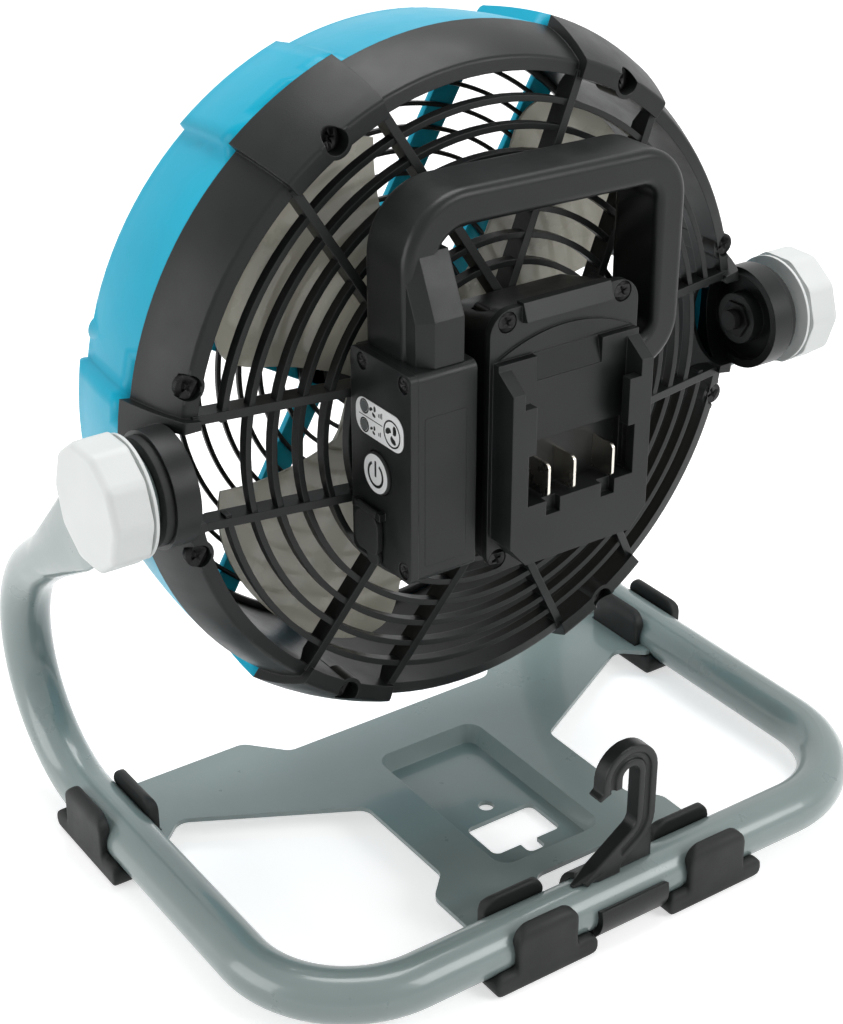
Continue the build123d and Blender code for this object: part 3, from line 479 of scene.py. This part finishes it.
def paired_bars(shape):
    # Pairs of straight bars from inside the hub plate to the rim
    start, end = FRONT_HUB / 2, FRONT_OPEN + BAR_SEAT
    front, rear = FRONT + BAR_SINK, FRONT + BAR_DEPTH + BAR_BACK
    size = Matrix.Diagonal((end - start, rear - front, BAR_WIDTH, 1))
    for index in range(BAR_PAIRS):
        turn = math.radians(BAR_TURN + 360 / BAR_PAIRS * index)
        out = Vector((math.cos(turn), 0, math.sin(turn)))
        across = Vector((-math.sin(turn), 0, math.cos(turn)))
        turned = Matrix((out, REARWARD, across)).transposed().to_4x4()
        for side in (1, -1):
            middle = Vector((AXIS_X, (front + rear) / 2, AXIS_Z)) + out * ((start + end) / 2)
            middle += across * (side * BAR_OFFSET)
            place = Matrix.Translation(middle) @ turned @ size
            made = bmesh.ops.create_cube(shape, size=1, matrix=place)
            edges = {edge for vert in made["verts"] for edge in vert.link_edges}
            long = [edge for edge in edges if abs((edge.verts[1].co - edge.verts[0].co).dot(out)) > LONG_EDGE]
            long.sort(key=lambda edge: tuple(edge.verts[0].co))
            bmesh.ops.bevel(shape, geom=long, offset=BAR_SOFT, segments=2, profile=0.5, affect="EDGES")


def barred_shroud():
    piece = to_object("front_shroud_barred", welded("front_shroud"))
    bore = bmesh.new()
    plate(bore, FRONT_OPEN + BORE_PLAY, FRONT - BORE_AHEAD, FRONT + BAR_DEPTH + BORE_PAST, count=240)
    bmesh.ops.recalc_face_normals(bore, faces=bore.faces)
    carve(piece, bore)
    settle(piece, "blue_plastic", "head", "front_shroud")
    shape = bmesh.new()
    plate(shape, FRONT_HUB, FRONT, FRONT + BAR_DEPTH)
    paired_bars(shape)
    bmesh.ops.recalc_face_normals(shape, faces=shape.faces)
    settle(to_object("front_bars", shape), "blue_plastic", "head")


def ring_guard():
    front = FRONT + BAR_DEPTH
    rear = front + GUARD_DEPTH
    shape = bmesh.new()
    pitch = (FRONT_OPEN - FRONT_HUB) / (GUARD_RINGS + 1)
    for index in range(GUARD_RINGS):
        radius = FRONT_HUB + pitch * (index + 1)
        inner, outer = radius - GUARD_RING_HALF, radius + GUARD_RING_HALF
        lathe(shape, rounded_bar(inner, outer, front, rear, GUARD_RING_SOFT, count=3))
    inner, outer = FRONT_OPEN - GUARD_RIM, FRONT_OPEN - GUARD_RIM_PLAY
    lathe(shape, rounded_bar(inner, outer, front, rear, GUARD_RIM_SOFT, count=2))
    plate(shape, FRONT_HUB, front, rear)
    bmesh.ops.recalc_face_normals(shape, faces=shape.faces)
    settle(to_object("front_guard_rings", shape), "black_plastic", "head", "front_guard")


def between(before, start, end, after, share):
    # A value on the smooth curve from start to end, by the Catmull-Rom rule
    slope = (end - before) * share
    bend = (2 * before - 5 * start + 4 * end - after) * share ** 2
    twist = (3 * start - before - 3 * end + after) * share ** 3
    return 0.5 * (2 * start + slope + bend + twist)


def smooth_run(points, steps=6):
    # A rounded line through the points
    line = []
    padded = [points[0], *points, points[-1]]
    for four in zip(padded, padded[1:], padded[2:], padded[3:]):
        for i in range(steps):
            line.append(tuple(between(*values, i / steps) for values in zip(*four)))
    return [*line, points[-1]]


def flatten_blades(piece):
    # Less pitch outside the hub, towards the rear edges, where the photograph shows the blades
    reach = []
    for vertex in piece.data.vertices:
        reach.append((vertex, math.hypot(vertex.co.x - AXIS_X, vertex.co.z - AXIS_Z)))
    rear = max(vertex.co.y for vertex, radius in reach if radius > BLADE_FREE)
    for vertex, radius in reach:
        share = min(max((radius - BLADE_ROOT) / (BLADE_FREE - BLADE_ROOT), 0.0), 1.0)
        vertex.co.y += BLADE_FLAT * share * (rear - vertex.co.y)


def petal_blades():
    # Everything round each petal is cut from the blades, then they are flattened
    low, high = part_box("fan_blade")
    root = PETAL[0][0]
    step = 2 * CUTTER_HALF / CUTTER_STEPS
    around = [(CUTTER_REACH, -CUTTER_HALF + step * i) for i in range(CUTTER_STEPS + 1)]
    line = [*smooth_run(PETAL), (root, -CUTTER_HALF), *around, (root, CUTTER_HALF)]
    shape = bmesh.new()
    for index in range(BLADE_COUNT):
        middle = BLADE_FIRST + 360 / BLADE_COUNT * index
        near = [shape.verts.new(axis_place(r * MM, middle + turn, low.y - MM)) for r, turn in line]
        far = [shape.verts.new(axis_place(r * MM, middle + turn, high.y + MM)) for r, turn in line]
        shape.faces.new(near)
        shape.faces.new(far)
        for i in range(len(line)):
            n = (i + 1) % len(line)
            shape.faces.new((near[i], near[n], far[n], far[i]))
    bmesh.ops.recalc_face_normals(shape, faces=shape.faces)
    piece = to_object("fan_blade_petals", welded("fan_blade"))
    carve(piece, shape)
    flatten_blades(piece)
    settle(piece, "smoke_plastic", "impeller", "fan_blade")


# Printed marks, all generic, the blank plate, and the clip of the hook

INK = 0.06 * MM

# Turns a drawing into the plane of a face that looks left or to the rear
FACE_LEFT = Matrix(((0, 0, 1), (1, 0, 0), (0, 1, 0)))
FACE_REAR = Matrix(((-1, 0, 0), (0, 0, 1), (0, 1, 0)))

# Fan sign: blades, turn of the first, share of the radius where they start, sweep and half width in degrees
SIGN_BLADES = 3
SIGN_LEAN = 20
SIGN_ROOT = 0.16
SIGN_SWEEP = 42
SIGN_HALF = 7.2
SIGN_SWELL = 27.2
SIGN_BULGE = 0.8
SIGN_STEPS = 12

# Marks on the film, placed from its lower corner at the front: a ringed fan sign, then for each of the
# two LEDs a ring, a small fan sign and a few bars, and a line between the rows
BIG_PLACE = (21.78 * MM, 5.8 * MM)
BIG_RING = 5.0 * MM
BIG_RING_LINE = 0.6 * MM
BIG_SIGN = 3.8 * MM
ROW_LEVELS = (10.0 * MM, 3.1 * MM)
ROW_SIGNS = (2.3 * MM, 1.8 * MM)
ROW_BARS = (3, 2)
LED_PLACE = 5.28 * MM
LED_RING = 2.7 * MM
LED_RING_LINE = 0.55 * MM
SMALL_PLACE = 10.58 * MM
SPEED_PLACE = 13.78 * MM
SPEED_PITCH = 0.9 * MM
SPEED_WIDTH = 0.45 * MM
SPEED_BELOW = 1.0 * MM
SPEED_ABOVE = 0.2 * MM
SPEED_RISE = 0.45 * MM
LINE_ENDS = (1.98 * MM, 16.08 * MM)
LINE_SIDES = (6.4 * MM, 6.7 * MM)

# Power sign on a pale disc, placed from the middle of the button
DISC_RADIUS = 7.05 * MM
ARC_DROP = 0.3 * MM
ARC_RADIUS = 4.3 * MM
ARC_LINE = 1.0 * MM
ARC_TURNS = (120, 420)
STROKE_HALF = 0.5 * MM
STROKE_BELOW = 1.2 * MM
STROKE_ABOVE = 4.9 * MM
STROKE_SOFT = 0.45 * MM

# Blank plate, as margins on the rear of the control box
PLATE_LEFT = 2.5 * MM
PLATE_RIGHT = 4.0 * MM
PLATE_BELOW = 5.8 * MM
PLATE_ABOVE = 15.7 * MM
PLATE_SOFT = 1.2 * MM

# Jaw of the hook's clip round the rear tube: middle radius, thickness, turns in degrees, and place along it
TUBE_RADIUS = 10 * MM
CLIP_RADIUS = 11.5 * MM
CLIP_THICK = 2.7 * MM
CLIP_TURNS = (-60, 18)
CLIP_START = -16 * MM
CLIP_LONG = 31.5 * MM


def printed(name, outlines, facing, height, slot, body, thick=INK):
    # Closed outlines in the plane of a face, the inner ones left open, as a film lying on it
    drawing = bpy.data.curves.new(name, "CURVE")
    drawing.dimensions = "2D"
    drawing.fill_mode = "BOTH"
    drawing.extrude = thick / 2
    for outline in outlines:
        spline = drawing.splines.new("POLY")
        spline.points.add(len(outline) - 1)
        for point, (u, v) in zip(spline.points, outline):
            point.co = (u, v, height + thick / 2, 1)
        spline.use_cyclic_u = True
    sheet = bpy.data.objects.new(name + "_drawing", drawing)
    bpy.context.scene.collection.objects.link(sheet)
    view = bpy.context.evaluated_depsgraph_get()
    mesh = bpy.data.meshes.new_from_object(sheet.evaluated_get(view))
    bpy.data.objects.remove(sheet)
    mesh.transform(facing.to_4x4())
    piece = bpy.data.objects.new(name, mesh)
    bpy.context.scene.collection.objects.link(piece)
    dress(piece, slot)
    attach(piece, body)


def fan_mark(u, v, radius):
    # Swept blades of a generic fan sign
    marks = []
    for index in range(SIGN_BLADES):
        first = SIGN_LEAN + 360 * index / SIGN_BLADES
        front = []
        back = []
        for i in range(SIGN_STEPS + 1):
            share = i / SIGN_STEPS
            reach = radius * (SIGN_ROOT + (1 - SIGN_ROOT) * share)
            middle = first + SIGN_SWEEP * share
            half = SIGN_HALF + SIGN_SWELL * math.sin(math.pi * share ** SIGN_BULGE)
            front.append(polar(u, v, reach, middle + half))
            back.append(polar(u, v, reach, middle - half))
        marks.append(front + back[::-1])
    return marks


def control_marks():
    low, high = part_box("indicator_panel")
    film = (FACE_LEFT, high.x, "black_plastic", "head")
    u, v = low.y + BIG_PLACE[0], low.z + BIG_PLACE[1]
    printed("mark_ring", [circle(u, v, BIG_RING), circle(u, v, BIG_RING - BIG_RING_LINE)], *film)
    for index, outline in enumerate(fan_mark(u, v, BIG_SIGN)):
        printed(f"mark_blade_{index + 1}", [outline], *film)
    for row, (place, sign, bars) in enumerate(zip(ROW_LEVELS, ROW_SIGNS, ROW_BARS)):
        level = low.z + place
        u = low.y + LED_PLACE
        ring = [circle(u, level, LED_RING), circle(u, level, LED_RING - LED_RING_LINE)]
        printed(f"mark_led_ring_{row + 1}", ring, *film)
        for index, outline in enumerate(fan_mark(low.y + SMALL_PLACE, level, sign)):
            printed(f"mark_small_{row + 1}_{index + 1}", [outline], *film)
        for index in range(bars):
            start = low.y + SPEED_PLACE + SPEED_PITCH * index
            top = level + SPEED_ABOVE + SPEED_RISE * index
            outline = bar(start, start + SPEED_WIDTH, level - SPEED_BELOW, top)
            printed(f"mark_speed_{row + 1}_{index + 1}", [outline], *film)
    ends = [low.y + place for place in LINE_ENDS]
    sides = [low.z + place for place in LINE_SIDES]
    printed("mark_line", [bar(*ends, *sides)], *film)


def power_mark():
    low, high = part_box("power_button")
    face = high.x
    u, v = (low.y + high.y) / 2, (low.z + high.z) / 2
    disc = circle(u, v, DISC_RADIUS, count=96)
    printed("button_disc", [disc], FACE_LEFT, face, "panel_film", "button")
    arc = arc_band(u, v - ARC_DROP, ARC_RADIUS, ARC_LINE, *ARC_TURNS)
    printed("power_arc", [arc], FACE_LEFT, face + INK, "black_plastic", "button")
    stroke = rounded_bar(u - STROKE_HALF, u + STROKE_HALF, v - STROKE_BELOW, v + STROKE_ABOVE, STROKE_SOFT)
    printed("power_stroke", [stroke], FACE_LEFT, face + INK, "black_plastic", "button")


def bare_plate():
    # The place of a data plate, left blank. A drawing on a rear face runs to the right, against X
    low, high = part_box("control_box")
    sides = (PLATE_LEFT - high.x, -PLATE_RIGHT - low.x)
    outline = rounded_bar(*sides, low.z + PLATE_BELOW, high.z - PLATE_ABOVE, PLATE_SOFT)
    printed("bare_plate", [outline], FACE_REAR, high.y, "black_plastic", "head")


def hook_clip():
    # The jaw of the hook's clip, round the rear side of the tube
    low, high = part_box("stand_tube")
    jaw = arc_band(high.y - TUBE_RADIUS, low.z + TUBE_RADIUS, CLIP_RADIUS, CLIP_THICK, *CLIP_TURNS)
    printed("hook_clip", [jaw], FACE_LEFT, CLIP_START, "black_plastic", "hook", CLIP_LONG)


barred_shroud()
ring_guard()
petal_blades()
control_marks()
power_mark()
bare_plate()
hook_clip()


# Stage, light and camera

# Floor: half its width in metres, its tone, and its glow where it is looked at
FLOOR_HALF = 6.0
FLOOR_TONE = 0.90
FLOOR_ROUGH = 0.9
FLOOR_GLOW = 0.58
# Strength of the world as a light and where it is looked at
WORLD_LIGHT = 0.36
WORLD_SEEN = 1.0
WHITE = (1, 1, 1, 1)
# Lamps, as name, place and size in metres, and power. All of them point at LAMP_AIM
LAMPS = (
    ("top", (-0.25, -0.3, 1.55), 0.9, 14),
    ("left", (1.5, -0.3, 0.45), 1.0, 9.5),
    ("rear", (-0.8, 1.4, 1.0), 0.9, 13),
)
LAMP_AIM = Vector((0, 0, 0.15))
# Camera fitted to the photograph, in metres, with its lens and sensor in millimetres
CAMERA_PLACE = Vector((0.3965, 0.5528, 0.4861))
CAMERA_BACK = Vector((0.5030, 0.7268, 0.4676)).normalized()
CAMERA_LENS = 70.75
CAMERA_SENSOR = 36


def seen_directly(tree):
    # One for what the camera, a reflection or a see-through surface looks at
    path = tree.nodes.new("ShaderNodeLightPath")
    first = combined(tree, "MAXIMUM", path.outputs["Is Camera Ray"], path.outputs["Is Glossy Ray"])
    return combined(tree, "MAXIMUM", first, path.outputs["Is Transmission Ray"])


def stage_floor():
    mesh = bpy.data.meshes.new("floor")
    corners = bar(-FLOOR_HALF, FLOOR_HALF, -FLOOR_HALF, FLOOR_HALF)
    mesh.from_pydata([(x, y, 0) for x, y in corners], [], [(0, 1, 2, 3)])
    floor = bpy.data.objects.new("floor", mesh)
    bpy.context.scene.collection.objects.link(floor)
    material = bpy.data.materials.new("floor_white")
    material.use_nodes = True
    tree = material.node_tree
    shader = tree.nodes["Principled BSDF"]
    shader.inputs["Base Color"].default_value = (FLOOR_TONE, FLOOR_TONE, FLOOR_TONE, 1)
    shader.inputs["Roughness"].default_value = FLOOR_ROUGH
    shader.inputs["Emission Color"].default_value = WHITE
    glow = spread(tree, seen_directly(tree), 0.0, FLOOR_GLOW, 0.0, 1.0)
    tree.links.new(glow, shader.inputs["Emission Strength"])
    floor.data.materials.append(material)


def stage_light():
    world = bpy.data.worlds.new("studio")
    bpy.context.scene.world = world
    world.use_nodes = True
    tree = world.node_tree
    back = tree.nodes["Background"]
    back.inputs["Color"].default_value = WHITE
    strength = spread(tree, seen_directly(tree), WORLD_LIGHT, WORLD_SEEN, 0.0, 1.0)
    tree.links.new(strength, back.inputs["Strength"])
    for name, place, size, power in LAMPS:
        light = bpy.data.lights.new(name, "AREA")
        light.size = size
        light.energy = power
        lamp = bpy.data.objects.new(name, light)
        bpy.context.scene.collection.objects.link(lamp)
        lamp.location = place
        aim = LAMP_AIM - Vector(place)
        lamp.rotation_euler = aim.to_track_quat("-Z", "Y").to_euler()


def stage_camera():
    data = bpy.data.cameras.new("camera")
    data.lens = CAMERA_LENS
    data.sensor_width = CAMERA_SENSOR
    camera = bpy.data.objects.new("camera", data)
    bpy.context.scene.collection.objects.link(camera)
    camera.location = CAMERA_PLACE
    camera.rotation_mode = "QUATERNION"
    camera.rotation_quaternion = (-CAMERA_BACK).to_track_quat("-Z", "Y")
    bpy.context.scene.camera = camera


stage_floor()
stage_light()
stage_camera()
bpy.context.scene.view_settings.view_transform = "Standard"
